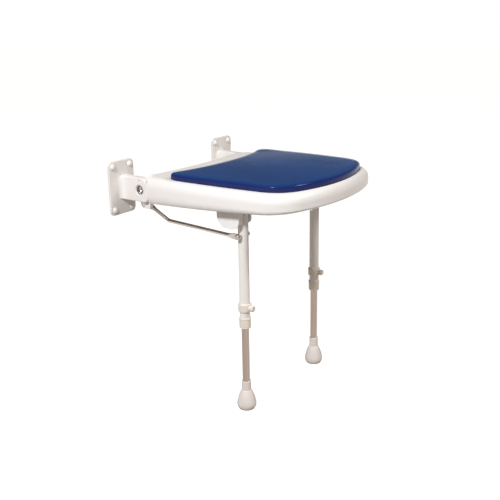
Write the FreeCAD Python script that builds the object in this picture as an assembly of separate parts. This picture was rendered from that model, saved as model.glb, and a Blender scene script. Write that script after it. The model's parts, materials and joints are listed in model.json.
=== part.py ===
import FreeCAD, Part
import math
import os

from FreeCAD import Matrix, Vector

# Fold down wall seat with two height adjustable legs.
# Millimetres. The wall is the plane Y = 0 and the seat stands out towards -Y. X runs along the wall, Z is up.
# The origin lies on the wall, midway between the two wall brackets, at the height of the hinge axis.
# Every paired piece is made for the +X side and mirrored to the -X side.

# Layout of the linkage
floor_drop = 535.0        # hinge axis above the floor
hinge_reach = 67.0        # hinge axis from the wall
leg_reach = 348.0         # leg axis from the wall
leg_inset = 26.0          # leg axis from the inner face of the arm
leg_pivot_drop = 44.0     # leg pivot below the hinge axis
link_height = 40.0        # strut pin below the hinge axis, and strut bolt below the leg pivot

# Wall bracket
plate_spread = 205.0
plate_width = 87.0
plate_height = 136.0
plate_thickness = 6.0
plate_corner = 13.0
plate_edge_round = 1.5
hole_pitch_x = 60.0
hole_pitch_z = 110.0
hole_radius = 3.3
arm_shift = 3.0           # outer face of the arm beyond the middle of the plate
arm_width = 22.0
arm_height = 61.0
arm_nose = 25.0           # arm beyond the hinge axis
arm_nose_round = 22.0
arm_sweep = 14.0          # hollow curve from the plate into the sides of the arm
arm_lower_corner = 12.0
arm_edge_round = 3.0
lug_width = 11.0
lug_round = 8.5           # round of the lug below the strut pin
lug_nose = 24.5           # lug beyond the hinge axis
lug_lower_corner = 2.5
lug_boss_radius = 8.0
cross_pin_radius = 2.0
cross_pin_rise = 24.0     # cross pin above the hinge axis
cross_pin_inset = 1.5     # pin end below the faces of the arm
bore_lead_in = 1.2        # chamfer at the outer end of the hinge bore
lug_root = 6.0            # lug into the arm

# Screw caps
cap_radius = 7.6
cap_height = 4.8
cap_rim = 1.4             # straight side of the cap above the plate
cap_wall = 1.3
cap_recess = 0.8          # depth of the ring recess in the plate

# Fits
snug = 0.02               # radial gap of a piece that is held
running = 0.06            # radial gap of a piece that turns or slides
side_play = 0.5           # gap between faces that pass each other
pivot_play = 0.3          # end float of a pivot

# Tubes
tube_radius = 12.7        # hinge tube and upper leg tubes
tube_wall = 1.6
lower_tube_radius = 9.5
lower_tube_wall = 1.5

# Seat shell
shell_half_rear = 213.0
shell_half_middle = 224.0
shell_half_front = 212.0
shell_setback = 23.0      # rear edge ahead of the hinge axis, on the middle line
shell_rear_hollow = 18.0  # depth of the hollow in the rear edge
shell_front_middle = 533.0
shell_front_end = 483.0
shell_rear_corner = 26.0
shell_front_corner = 90.0
shell_wall = 4.0
deck_height = 35.0        # top of the deck above the hinge axis
shoulder_radius = 24.0    # round from the side walls to the deck
front_shoulder = 15.0     # reach of the round at the front
rear_shoulder = 8.0       # round from the rear wall to the deck
skirt_start = -2.0        # height where the walls begin to turn in
skirt_bottom = -30.5      # lower rim at the rear
skirt_turn = 14.0         # sideways radius of the turn
skirt_turn_angle = 65.0
skirt_tilt = 2.9          # rise of the lower rim towards the front, in degrees
arm_relief = 31.5         # shell corner ahead of the hinge axis, beside the arms
relief_play = 1.5         # shell to the arm beside it
leg_relief_top = -20.0    # rear rim above the folded legs
leg_relief_margin = 7.0   # rear relief beyond the leg tubes
strut_relief_top = -14.0  # rear rim above the folded struts
leg_relief_reach = 22.0   # reliefs ahead of the rear edge
strut_relief_reach = 34.0
rib_thickness = 3.0
rib_depth = 25.0
rib_columns = (-120.0, -60.0, 0.0, 60.0, 120.0)
rib_rows = (155.0, 215.0, 275.0, 385.0, 445.0)   # from the wall
barrel_length = 60.0
barrel_inset = 14.0       # end of the barrel from the arm
barrel_wall = 4.0
bush_wall = 2.0
bush_length = 22.0
bush_flange = 1.5
bush_flange_radius = 17.0
gusset_thickness = 4.0
gusset_inset = 10.0       # gusset from the end of the barrel
gusset_lap = 1.0          # gusset into the barrel and into the rear wall

# Seat pad
pad_half_rear = 200.0
pad_half_middle = 198.5
pad_half_front = 187.0
pad_rear_middle = 184.0
pad_rear_end = 141.0
pad_front_middle = 518.0
pad_front_end = 468.0
pad_rear_corner = 30.0
pad_front_corner = 82.0
pad_height = 17.5         # pad edge above its seat on the deck
pad_crown = 2.5           # middle of the pad above its edge
pad_edge_round = 7.0
pad_tuck_round = 2.5
pad_seat_depth = 1.5      # recess in the deck that locates the pad
pad_seat_gap = 0.8
pad_screw_radius = 2.5
pad_screw_head = 6.0
pad_screw_head_height = 3.0
pad_screw_slot = 1.2      # width and depth of the driver slot
pad_screw_bite = 9.0
pad_screw_rows = ((130.0, 205.0), (90.0, 330.0), (90.0, 470.0))   # off the middle line, from the wall

# Leg bracket under the seat
bracket_reach = 30.0      # outer face of the guard beyond the leg axis
bracket_wall = 2.5
bracket_base_top = -14.0
bracket_base_thickness = 3.0
guard_behind = 54.0       # guard behind the leg axis
guard_ahead = 10.0
guard_bottom = -65.0
guard_rear_corner = 28.0
guard_front_corner = 20.0
guard_front_drop = 12.0   # front wall of the guard above the lowest edge
guard_gap = 1.5           # leg tube to the front wall of the guard, sideways
guard_boss_height = 1.0
cheek_gap = 0.8           # leg tube to inner cheek
cheek_thickness = 3.0
cheek_round = 13.0
mount_box_margin = 1.5
mount_box_wall = 3.0
pillar_radius = 5.0
pillar_inset = 8.0
pillar_front_inset = 12.0
bracket_screw_radius = 2.4
bracket_screw_head = 4.5
bracket_screw_head_height = 2.4
bracket_screw_round = 1.0
bracket_screw_bite = 18.0
leg_pin_radius = 4.0
leg_pin_head = 7.5
leg_pin_head_height = 4.0
leg_pin_round = 1.5
leg_pin_blind = 1.2       # guard wall left in front of the pin
leg_spacer_radius = 7.0

# Legs
leg_top_rise = 11.0       # end of the upper tube above its pivot
plug_depth = 5.0
plug_lip = 2.0
end_chamfer = 1.0         # chamfer of the plug and of the ferrule
ferrule_bottom = -318.0   # lower end of the upper leg
ferrule_height = 26.0
ferrule_radius = 14.3
ferrule_lip = 0.5         # flare at the top of the ferrule
ferrule_lip_height = 3.0
ferrule_floor = 1.5
ferrule_sleeve = 40.0     # length of the sleeve between the tubes
lower_tube_top = -195.0
collar_bottom = -275.0
collar_height = 20.0
collar_radius = 16.0
collar_round = 2.0
collar_boss_radius = 6.5
collar_boss_reach = 19.0
knob_radius = 7.5
knob_height = 7.5
knob_gap = 0.4
knob_flutes = 10
knob_flute_radius = 1.2
knob_round = 2.0
clamp_screw_radius = 3.0
clamp_tip_gap = 0.3

# Feet
foot_sleeve_radius = 11.9
foot_sleeve_top = -460.0
foot_shoulder = -485.0
foot_bell_radius = 23.8
foot_bell_rise = 17.0     # widest part above the floor
foot_sole_radius = 20.0
foot_floor = 12.0
foot_edge_round = 1.0
foot_shoulder_swell = 1.6 # bulge of the shoulder beyond a straight cone
foot_side_swell = 3.2     # bulge of the side below the widest part
foot_tread_depth = 1.5
foot_tread_width = 2.0
foot_tread_radii = (8.0, 12.5, 17.0)
foot_disc_thickness = 1.5

# Struts
strut_radius = 4.75
strut_wall = 1.2
strut_bend_ahead = 68.0   # bend ahead of the strut pin
strut_bend_drop = 34.65   # bend below the strut pin
strut_bend_radius = 18.0
strut_inset = 5.5         # middle plane of the strut from the arm
paddle_thickness = 4.0
paddle_radius = 7.0
paddle_length = 15.0      # straight flat part beyond the pin
paddle_blend = 14.0       # length of the change from flat to round
strut_pin_radius = 4.0
strut_pin_head = 6.5
strut_pin_head_depth = 2.5
ring_radius = 6.5
ring_thickness = 1.0
ring_groove = 0.6
ring_lip = 0.6            # mouth of the ring narrower than the groove
strut_pin_tail = 1.5      # pin beyond the ring
strut_pin_back = 0.5      # pin end inside its head
strut_bolt_head = 6.5
strut_bolt_head_height = 3.2
strut_bolt_round = 2.2
strut_bolt_tail = 1.0     # thread beyond the nut
nut_across_flats = 13.0
nut_height = 5.0

# Places worked out from the sizes above
hinge_y = -hinge_reach
leg_y = -leg_reach
strut_pin_z = -link_height
leg_pivot_z = -leg_pivot_drop
strut_bolt_z = leg_pivot_z - link_height
tube_bore = tube_radius - tube_wall
pad_seat_z = deck_height - pad_seat_depth
deck_underside = deck_height - shell_wall
barrel_bore = tube_radius + running + bush_wall + snug
barrel_radius = barrel_bore + barrel_wall
arm_outer = plate_spread + arm_shift
arm_inner = arm_outer - arm_width
relief_edge = arm_inner - relief_play
leg_spread = arm_inner - leg_inset
strut_plane = arm_inner - strut_inset
barrel_outer_end = arm_inner - barrel_inset
barrel_inner_end = barrel_outer_end - barrel_length
bracket_outer = leg_spread + bracket_reach
guard_rear = leg_reach - guard_behind
guard_front = leg_reach + guard_ahead
shell_rear_middle = hinge_reach + shell_setback
shell_rear_end = shell_rear_middle - shell_rear_hollow
lug_inner = arm_inner
lug_outer = arm_inner + lug_width
paddle_inner = strut_plane - paddle_thickness / 2
paddle_outer = strut_plane + paddle_thickness / 2
leg_outer_side = leg_spread + tube_radius
leg_inner_side = leg_spread - tube_radius
cheek_outer = leg_inner_side - cheek_gap
cheek_inner = cheek_outer - cheek_thickness
guard_inner = bracket_outer - bracket_wall
bend = math.sqrt(0.5)     # share of a radius at the middle of a quarter turn


def box(x0, x1, y0, y1, z0, z1):
    return Part.makeBox(x1 - x0, y1 - y0, z1 - z0, Vector(x0, y0, z0))


def rod(radius, start, end):
    along = end - start
    return Part.makeCylinder(radius, along.Length, start, along)


def rod_x(radius, x0, x1, y, z):
    return rod(radius, Vector(x0, y, z), Vector(x1, y, z))


def rod_z(radius, z0, z1, x, y):
    return rod(radius, Vector(x, y, z0), Vector(x, y, z1))


def ring_x(outer, inner, x0, x1, y, z):
    return rod_x(outer, x0, x1, y, z).cut(rod_x(inner, x0 - 1, x1 + 1, y, z))


def line(a, b):
    return Part.LineSegment(a, b).toShape()


def arc(a, b, c):
    return Part.Arc(a, b, c).toShape()


def turned(edges, x, y):
    """Solid of revolution about the vertical through x, y from edges drawn in the XZ plane."""
    face = Part.Face(Part.Wire(edges))
    solid = face.revolve(Vector(0, 0, 0), Vector(0, 0, 1), 360)
    return solid.translated(Vector(x, y, 0))


def turned_polygon(points, x, y):
    loop = [Vector(r, 0, z) for r, z in points]
    edges = [line(a, b) for a, b in zip(loop, loop[1:] + loop[:1])]
    return turned(edges, x, y)


def side_slab(edges, x0, x1):
    """Solid between two X planes from edges drawn in the YZ plane at X = 0."""
    face = Part.Face(Part.Wire(edges))
    return face.extrude(Vector(x1 - x0, 0, 0)).translated(Vector(x0, 0, 0))


def side_point(y, z):
    return Vector(0, y, z)


def joined(first, *others):
    return first.fuse(list(others)).removeSplitter()


def mirrored(shape):
    return shape.mirror(Vector(0, 0, 0), Vector(1, 0, 0))


def save(name, *solids):
    shape = solids[0] if len(solids) == 1 else Part.makeCompound(list(solids))
    shape.exportStep("parts/" + name + ".step")


def save_pair(name, *solids):
    save(name + "_right", *solids)
    save(name + "_left", *[mirrored(solid) for solid in solids])


def chosen_edges(shape, test):
    return [edge for edge in shape.Edges if test(edge)]


def d_outline(half_rear, half_middle, half_front, rear_middle, rear_end, front_middle, front_end,
              rear_corner, front_corner):
    """Closed plan curve with a hollow rear edge, bowed sides, a bowed front and round corners, at Z = 0."""
    rear_right = Vector(half_rear, -rear_end, 0)
    rear_left = Vector(-half_rear, -rear_end, 0)
    front_right = Vector(half_front, -front_end, 0)
    front_left = Vector(-half_front, -front_end, 0)
    middle_y = -(rear_end + front_end) / 2
    edges = [
        arc(rear_left, Vector(0, -rear_middle, 0), rear_right),
        arc(rear_right, Vector(half_middle, middle_y, 0), front_right),
        arc(front_right, Vector(0, -front_middle, 0), front_left),
        arc(front_left, Vector(-half_middle, middle_y, 0), rear_left),
    ]
    prism = Part.Face(Part.Wire(edges)).extrude(Vector(0, 0, 10))
    middle_line = -(rear_middle + front_middle) / 2

    def upright(edge, front):
        ends = [vertex.Point for vertex in edge.Vertexes]
        level = abs(ends[0].z - ends[-1].z) > 5
        return level and (ends[0].y < middle_line) == front

    prism = prism.makeFillet(rear_corner, chosen_edges(prism, lambda edge: upright(edge, False)))
    prism = prism.makeFillet(front_corner, chosen_edges(prism, lambda edge: upright(edge, True)))
    floor_face = min(prism.Faces, key=lambda face: face.CenterOfMass.z)
    return floor_face.OuterWire


def shell_outline(side_inset, rear_inset, front_inset):
    return d_outline(
        shell_half_rear - side_inset,
        shell_half_middle - side_inset,
        shell_half_front - side_inset,
        shell_rear_middle + rear_inset,
        shell_rear_end + rear_inset,
        shell_front_middle - front_inset,
        shell_front_end - front_inset,
        max(shell_rear_corner - side_inset, 2.0),
        shell_front_corner - side_inset,
    )


def shell_loft(levels, wall):
    """Smooth body through the shell outline at several heights."""
    wires = []
    for z, side, rear, front, tilt in levels:
        wire = shell_outline(side + wall, rear + wall, front + wall)
        wire.translate(Vector(0, 0, z))
        wire.rotate(Vector(0, -shell_rear_middle, z), Vector(1, 0, 0), -tilt)
        wires.append(wire)
    return Part.makeLoft(wires, True, False)


def shell_form(wall):
    """Outer form of the shell for wall 0, and its cavity for the real wall."""
    skirt = []
    full = math.sin(math.radians(skirt_turn_angle))
    for share in (1.0, 0.7, 0.35, 0.0):
        angle = math.radians(skirt_turn_angle * share)
        depth = math.sin(angle) / full
        inset = skirt_turn * (1 - math.cos(angle))
        z = skirt_start + (skirt_bottom - skirt_start) * depth
        skirt.append((z, inset, inset / 2, inset, skirt_tilt * depth))
    shoulder = []
    for degrees in (0, 30, 60, 90):
        angle = math.radians(degrees)
        turn = 1 - math.cos(angle)
        z = deck_height - shoulder_radius + (shoulder_radius - wall) * math.sin(angle)
        side = (shoulder_radius - wall) * turn
        rear = (rear_shoulder - wall) * turn
        front = (front_shoulder - wall) * turn
        shoulder.append((z, side, rear, front, 0.0))
    upright = shell_loft([skirt[-1], shoulder[0]], wall)
    return upright.fuse([shell_loft(skirt, wall), shell_loft(shoulder, wall)])


def pad_outline(inset):
    return d_outline(
        pad_half_rear - inset,
        pad_half_middle - inset,
        pad_half_front - inset,
        pad_rear_middle + inset,
        pad_rear_end + inset,
        pad_front_middle - inset,
        pad_front_end - inset,
        max(pad_rear_corner - inset, 3.0),
        pad_front_corner - inset,
    )


def wall_bracket():
    half_height = arm_height / 2
    front = hinge_y - arm_nose
    plate = box(plate_spread - plate_width / 2, plate_spread + plate_width / 2, -plate_thickness, 0,
                -plate_height / 2, plate_height / 2)
    corners = chosen_edges(plate, lambda edge: abs(edge.CenterOfMass.y + plate_thickness / 2) < 0.01)
    plate = plate.makeFillet(plate_corner, corners)
    rim = chosen_edges(plate, lambda edge: edge.BoundBox.YMax < -plate_thickness + 0.01)
    plate = plate.makeFillet(plate_edge_round, rim)

    # Side view of the arm, drawn round from the wall over the nose and back
    nose_y = front + arm_nose_round
    nose_z = half_height - arm_nose_round
    corner_y = front + arm_lower_corner
    corner_z = -half_height + arm_lower_corner
    side = [
        line(side_point(0, half_height), side_point(nose_y, half_height)),
        arc(side_point(nose_y, half_height),
            side_point(nose_y - arm_nose_round * bend, nose_z + arm_nose_round * bend),
            side_point(front, nose_z)),
        line(side_point(front, nose_z), side_point(front, corner_z)),
        arc(side_point(front, corner_z),
            side_point(corner_y - arm_lower_corner * bend, corner_z - arm_lower_corner * bend),
            side_point(corner_y, -half_height)),
        line(side_point(corner_y, -half_height), side_point(0, -half_height)),
        line(side_point(0, -half_height), side_point(0, half_height)),
    ]
    arm = side_slab(side, arm_inner, arm_outer)
    outline = chosen_edges(arm, lambda edge: edge.BoundBox.XLength < 0.01 and edge.BoundBox.YMin < -1)
    arm = arm.makeFillet(arm_edge_round, outline)

    # Hollow curves from the plate into both sides of the arm
    flares = []
    flare_half = half_height - arm_edge_round
    flare_y = -plate_thickness - arm_sweep
    for face_x, way in ((arm_outer, 1), (arm_inner, -1)):
        centre_x = face_x + way * arm_sweep
        ends = sorted((face_x - way, centre_x))
        flare = box(ends[0], ends[1], flare_y, 1 - plate_thickness, -flare_half, flare_half)
        flares.append(flare.cut(rod_z(arm_sweep, -flare_half - 1, flare_half + 1, centre_x, flare_y)))

    # Lug for the strut pin, with its boss on the inner side
    lug_front = hinge_y - lug_nose
    lug_low = strut_pin_z - lug_round
    lug_back = hinge_y + lug_round
    lug_top = -half_height + lug_root
    lug = [
        line(side_point(lug_back, lug_top), side_point(lug_back, strut_pin_z)),
        arc(side_point(lug_back, strut_pin_z),
            side_point(hinge_y + lug_round * bend, strut_pin_z - lug_round * bend),
            side_point(hinge_y, lug_low)),
        line(side_point(hinge_y, lug_low), side_point(lug_front + lug_lower_corner, lug_low)),
        line(side_point(lug_front + lug_lower_corner, lug_low), side_point(lug_front, -half_height)),
        line(side_point(lug_front, -half_height), side_point(front + 1, lug_top)),
        line(side_point(front + 1, lug_top), side_point(lug_back, lug_top)),
    ]
    lug = side_slab(lug, lug_inner, lug_outer)
    boss = rod_x(lug_boss_radius, paddle_outer + pivot_play, lug_inner + 1, hinge_y, strut_pin_z)
    body = joined(plate, arm, lug, boss, *flares)

    # Bore for the hinge tube, cross pin, strut pin and the four wall screws
    bore = tube_radius + snug
    body = body.cut(rod_x(bore, arm_inner - 5, arm_outer + 5, hinge_y, 0))
    lead_in_start = Vector(arm_outer - bore_lead_in, hinge_y, 0)
    body = body.cut(Part.makeCone(bore, bore + bore_lead_in, bore_lead_in, lead_in_start, Vector(1, 0, 0)))
    body = body.cut(rod_x(cross_pin_radius + snug, arm_inner - 1, arm_outer + 1, hinge_y, cross_pin_rise))
    body = body.cut(rod_x(strut_pin_radius + snug, paddle_outer - 1, lug_outer + 1, hinge_y, strut_pin_z))
    head_seat = lug_outer - strut_pin_head_depth
    body = body.cut(rod_x(strut_pin_head + snug, head_seat, lug_outer + 1, hinge_y, strut_pin_z))
    for x, z in plate_holes():
        outside = Vector(x, -plate_thickness - 1, z)
        body = body.cut(rod(hole_radius, Vector(x, 1, z), outside))
        body = body.cut(rod(cap_radius + snug, Vector(x, -plate_thickness + cap_recess, z), outside))
    return body


def plate_holes():
    return [(plate_spread + i * hole_pitch_x / 2, j * hole_pitch_z / 2) for i in (-1, 1) for j in (-1, 1)]


def dome(radius, base, rim, height):
    """Round button along +Z: straight up to the rim, then domed to the height."""
    sphere_radius = (radius ** 2 + (height - rim) ** 2) / (2 * (height - rim))
    barrel = rod_z(radius, base, height + 1, 0, 0)
    return barrel.common(Part.makeSphere(sphere_radius, Vector(0, 0, height - sphere_radius)))


def screw_cap(x, z):
    """Hollow domed cap over a wall screw, seated in its ring recess."""
    seat = plate_thickness - cap_recess
    rim = plate_thickness + cap_rim
    top = plate_thickness + cap_height
    cap = dome(cap_radius, seat, rim, top)
    cap = cap.cut(dome(cap_radius - cap_wall, seat - 1, rim - cap_wall / 2, top - cap_wall))
    cap.rotate(Vector(0, 0, 0), Vector(1, 0, 0), 90)
    return cap.translated(Vector(x, 0, z))


def hinge_tube():
    end = arm_outer - bore_lead_in
    return ring_x(tube_radius, tube_bore, -end, end, hinge_y, 0)


def cross_pin():
    start = arm_inner + cross_pin_inset
    end = arm_outer - cross_pin_inset
    return rod_x(cross_pin_radius, start, end, hinge_y, cross_pin_rise)


def strut_pin():
    """Headed pin through the lug and the strut, with a groove for its retaining ring."""
    groove_end = paddle_inner - pivot_play
    groove_start = groove_end - ring_thickness
    shank_end = lug_outer - strut_pin_back
    shank = rod_x(strut_pin_radius, groove_start - strut_pin_tail, shank_end, hinge_y, strut_pin_z)
    head = rod_x(strut_pin_head, lug_outer - strut_pin_head_depth, lug_outer, hinge_y, strut_pin_z)
    neck = strut_pin_radius - ring_groove
    groove = ring_x(strut_pin_radius + 1, neck, groove_start, groove_end, hinge_y, strut_pin_z)
    return joined(shank, head).cut(groove)


def strut_pin_ring():
    """E shaped retaining ring, open at the bottom."""
    x1 = paddle_inner - pivot_play
    x0 = x1 - ring_thickness
    neck = strut_pin_radius - ring_groove
    half_mouth = neck - ring_lip
    low = strut_pin_z - ring_radius - 1
    ring = ring_x(ring_radius, neck, x0, x1, hinge_y, strut_pin_z)
    return ring.cut(box(x0 - 1, x1 + 1, hinge_y - half_mouth, hinge_y + half_mouth, low, strut_pin_z))


def seat_shell():
    outer = shell_form(0.0)
    cavity = shell_form(shell_wall)
    far = 400.0
    corner_y = hinge_y - arm_relief
    for sign in (-1, 1):
        edge = sorted((sign * relief_edge, sign * far))
        outer = outer.cut(box(edge[0], edge[1], corner_y, 0, -far, far))
        walled = sorted((sign * (relief_edge - shell_wall), sign * far))
        cavity = cavity.cut(box(walled[0], walled[1], corner_y - shell_wall, 0, -far, far))
    shell = outer.cut(cavity)

    # Ribs under the deck
    ribs = []
    rib_bottom = deck_underside - rib_depth
    for x in rib_columns:
        x0 = x - rib_thickness / 2
        ribs.append(box(x0, x0 + rib_thickness, -far * 2, 0, rib_bottom, deck_underside + 1))
    for reach in rib_rows:
        rear = rib_thickness / 2 - reach
        ribs.append(box(-far, far, rear - rib_thickness, rear, rib_bottom, deck_underside + 1))
    grid = ribs[0].fuse(ribs[1:]).common(outer)
    shell = shell.fuse(grid)

    # Boxes with corner pillars that carry the leg brackets
    x0 = cheek_inner - mount_box_margin
    x1 = bracket_outer + mount_box_margin
    y0 = -(guard_front + mount_box_margin)
    y1 = -(guard_rear - mount_box_margin)
    mount = box(x0, x1, y0, y1, bracket_base_top, deck_underside + 1)
    wall = mount_box_wall
    hollow = box(x0 + wall, x1 - wall, y0 + wall, y1 - wall, bracket_base_top - 1, deck_underside)
    mount = mount.cut(hollow)
    for x, y in bracket_screw_spots():
        mount = mount.fuse(rod_z(pillar_radius, bracket_base_top, deck_underside + 1, x, y))
    shell = shell.cut(hollow).cut(mirrored(hollow))
    shell = shell.fuse([mount, mirrored(mount)])

    # Hinge barrels with gussets up to the rear wall
    pieces = []
    for spot in (barrel_inner_end + gusset_inset, barrel_outer_end - gusset_inset):
        half = gusset_thickness / 2
        root = -shell_rear_middle - gusset_lap
        corners = [
            side_point(hinge_y, barrel_radius - gusset_lap),
            side_point(root, deck_underside - shell_wall),
            side_point(root, gusset_lap - barrel_radius),
            side_point(hinge_y, gusset_lap - barrel_radius),
        ]
        loop = [line(a, b) for a, b in zip(corners, corners[1:] + corners[:1])]
        pieces.append(side_slab(loop, spot - half, spot + half))
    pieces.append(rod_x(barrel_radius, barrel_inner_end, barrel_outer_end, hinge_y, 0))
    pieces += [mirrored(piece) for piece in pieces]
    shell = shell.fuse(pieces)
    for sign in (-1, 1):
        ends = sorted((sign * (barrel_inner_end - 5), sign * (barrel_outer_end + 5)))
        shell = shell.cut(rod_x(barrel_bore, ends[0], ends[1], hinge_y, 0))
        for near, far_end in ((barrel_inner_end - 5, barrel_inner_end), (barrel_outer_end, far)):
            ends = sorted((sign * near, sign * far_end))
            shell = shell.cut(rod_x(bush_flange_radius + side_play, ends[0], ends[1], hinge_y, 0))

        # Rear rim raised where the folded legs and struts pass
        leg_y0 = -(shell_rear_middle + leg_relief_reach)
        leg_side = sorted((sign * (leg_inner_side - leg_relief_margin), sign * arm_inner))
        shell = shell.cut(box(leg_side[0], leg_side[1], leg_y0, 0, -far, leg_relief_top))
        strut_y0 = -(shell_rear_middle + strut_relief_reach)
        strut_side = sorted((sign * (barrel_outer_end + bush_flange), sign * arm_inner))
        shell = shell.cut(box(strut_side[0], strut_side[1], strut_y0, 0, -far, strut_relief_top))

    # Seat for the pad and the holes for its screws and for the bracket screws
    recess = Part.Face(pad_outline(-pad_seat_gap)).extrude(Vector(0, 0, pad_seat_depth + 1))
    shell = shell.cut(recess.translated(Vector(0, 0, pad_seat_z)))
    for x, y in pad_screw_spots():
        shell = shell.cut(rod_z(pad_screw_radius + running, 0, far, x, y))
    hole_end = bracket_base_top + bracket_screw_bite + 1
    for x, y in bracket_screw_spots():
        hole = rod_z(bracket_screw_radius + snug, bracket_base_top - 1, hole_end, x, y)
        shell = shell.cut(hole).cut(mirrored(hole))
    return shell.removeSplitter()


def pad_screw_spots():
    return [(sign * half, -reach) for half, reach in pad_screw_rows for sign in (-1, 1)]


def bracket_screw_spots():
    x0 = cheek_inner + pillar_inset
    x1 = guard_inner - pillar_inset
    y0 = -(guard_front - pillar_front_inset)
    y1 = -(guard_rear + pillar_inset)
    return [(x, y) for x in (x0, x1) for y in (y0, y1)]


def hinge_bush(x0, flange_end):
    """Flanged sleeve between a barrel end and the hinge tube. flange_end is 1 or -1."""
    inner = tube_radius + running
    outer = inner + bush_wall
    sleeve_ends = sorted((x0, x0 - flange_end * bush_length))
    flange_ends = sorted((x0, x0 + flange_end * bush_flange))
    sleeve = ring_x(outer, inner, sleeve_ends[0], sleeve_ends[1], hinge_y, 0)
    flange = ring_x(bush_flange_radius, inner, flange_ends[0], flange_ends[1], hinge_y, 0)
    return joined(sleeve, flange)


def seat_pad():
    """Moulded pad with a shallow crown, rounded top edge and tucked lower edge."""
    pad = Part.Face(pad_outline(0)).extrude(Vector(0, 0, pad_height + pad_crown + 5))
    crown_radius = (pad_half_middle ** 2 + pad_crown ** 2) / (2 * pad_crown)
    middle_y = -(pad_rear_middle + pad_front_middle) / 2
    crown_centre = Vector(0, middle_y, pad_height + pad_crown - crown_radius)
    pad = pad.common(Part.makeSphere(crown_radius, crown_centre))
    pad = pad.makeFillet(pad_edge_round, chosen_edges(pad, lambda edge: edge.BoundBox.ZMin > pad_height / 2))
    pad = pad.makeFillet(pad_tuck_round, chosen_edges(pad, lambda edge: edge.BoundBox.ZMax < 0.01))
    pad = pad.translated(Vector(0, 0, pad_seat_z))
    for x, y in pad_screw_spots():
        pad = pad.cut(rod_z(pad_screw_radius + snug, pad_seat_z - 1, pad_seat_z + pad_screw_bite + 1, x, y))
    return pad


def pad_screw(x, y):
    low = deck_underside - pad_screw_head_height
    slot_top = low + pad_screw_slot
    half_slot = pad_screw_slot / 2
    head = rod_z(pad_screw_head, low, deck_underside, x, y)
    shank = rod_z(pad_screw_radius, slot_top, pad_seat_z + pad_screw_bite, x, y)
    slot = box(x - pad_screw_head, x + pad_screw_head, y - half_slot, y + half_slot, low, slot_top)
    return joined(head, shank).cut(slot)


def leg_bracket():
    """Moulded bracket: base plate, rounded outer guard with its front wall, and inner cheek."""
    base_z0 = bracket_base_top - bracket_base_thickness
    base = box(cheek_inner, bracket_outer, -guard_front, -guard_rear, base_z0, bracket_base_top)
    rear_c = Vector(0, -guard_rear - guard_rear_corner, guard_bottom + guard_rear_corner)
    front_c = Vector(0, -guard_front + guard_front_corner, guard_bottom + guard_front_corner)
    guard_edges = [
        line(side_point(-guard_rear, bracket_base_top), side_point(-guard_rear, rear_c.z)),
        arc(side_point(-guard_rear, rear_c.z),
            side_point(rear_c.y + guard_rear_corner * bend, rear_c.z - guard_rear_corner * bend),
            side_point(rear_c.y, guard_bottom)),
        line(side_point(rear_c.y, guard_bottom), side_point(front_c.y, guard_bottom)),
        arc(side_point(front_c.y, guard_bottom),
            side_point(front_c.y - guard_front_corner * bend, front_c.z - guard_front_corner * bend),
            side_point(-guard_front, front_c.z)),
        line(side_point(-guard_front, front_c.z), side_point(-guard_front, bracket_base_top)),
        line(side_point(-guard_front, bracket_base_top), side_point(-guard_rear, bracket_base_top)),
    ]
    guard = side_slab(guard_edges, leg_outer_side + guard_gap, bracket_outer)
    guard = guard.cut(box(leg_outer_side, guard_inner, bracket_wall - guard_front, 0, guard_bottom, base_z0))
    front_end = guard_bottom + guard_front_drop
    guard = guard.cut(box(leg_outer_side, guard_inner, -guard_front, 0, guard_bottom, front_end))

    cheek_front = leg_y - cheek_round
    cheek_rear = leg_y + cheek_round
    cheek = box(cheek_inner, cheek_outer, cheek_front, cheek_rear, leg_pivot_z, bracket_base_top)
    cheek_end = rod_x(cheek_round, cheek_inner, cheek_outer, leg_y, leg_pivot_z)
    boss = rod_x(leg_spacer_radius, guard_inner - guard_boss_height, bracket_outer, leg_y, leg_pivot_z)
    bracket = joined(base, guard, cheek, cheek_end, boss)
    pin_end = bracket_outer - leg_pin_blind
    bracket = bracket.cut(rod_x(leg_pin_radius + snug, cheek_inner - 1, pin_end, leg_y, leg_pivot_z))
    for x, y in bracket_screw_spots():
        bracket = bracket.cut(rod_z(bracket_screw_radius + snug, base_z0 - 1, bracket_base_top + 1, x, y))
    return bracket


def bracket_screw(x, y):
    seat = bracket_base_top - bracket_base_thickness
    low = seat - bracket_screw_head_height
    head = rod_z(bracket_screw_head, low, seat, x, y)
    rim = chosen_edges(head, lambda edge: edge.BoundBox.ZMax < low + 0.01)
    head = head.makeFillet(bracket_screw_round, rim)
    tip = bracket_base_top + bracket_screw_bite
    shank = rod_z(bracket_screw_radius, low + bracket_screw_round, tip, x, y)
    return joined(head, shank)


def leg_pin():
    end = cheek_inner - leg_pin_head_height
    shank = rod_x(leg_pin_radius, end + leg_pin_round, bracket_outer - leg_pin_blind, leg_y, leg_pivot_z)
    head = rod_x(leg_pin_head, end, cheek_inner, leg_y, leg_pivot_z)
    rim = chosen_edges(head, lambda edge: edge.BoundBox.XMax < end + 0.01)
    return joined(shank, head.makeFillet(leg_pin_round, rim))


def leg_spacer():
    start = leg_outer_side + pivot_play
    end = guard_inner - guard_boss_height
    return ring_x(leg_spacer_radius, leg_pin_radius + snug, start, end, leg_y, leg_pivot_z)


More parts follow.
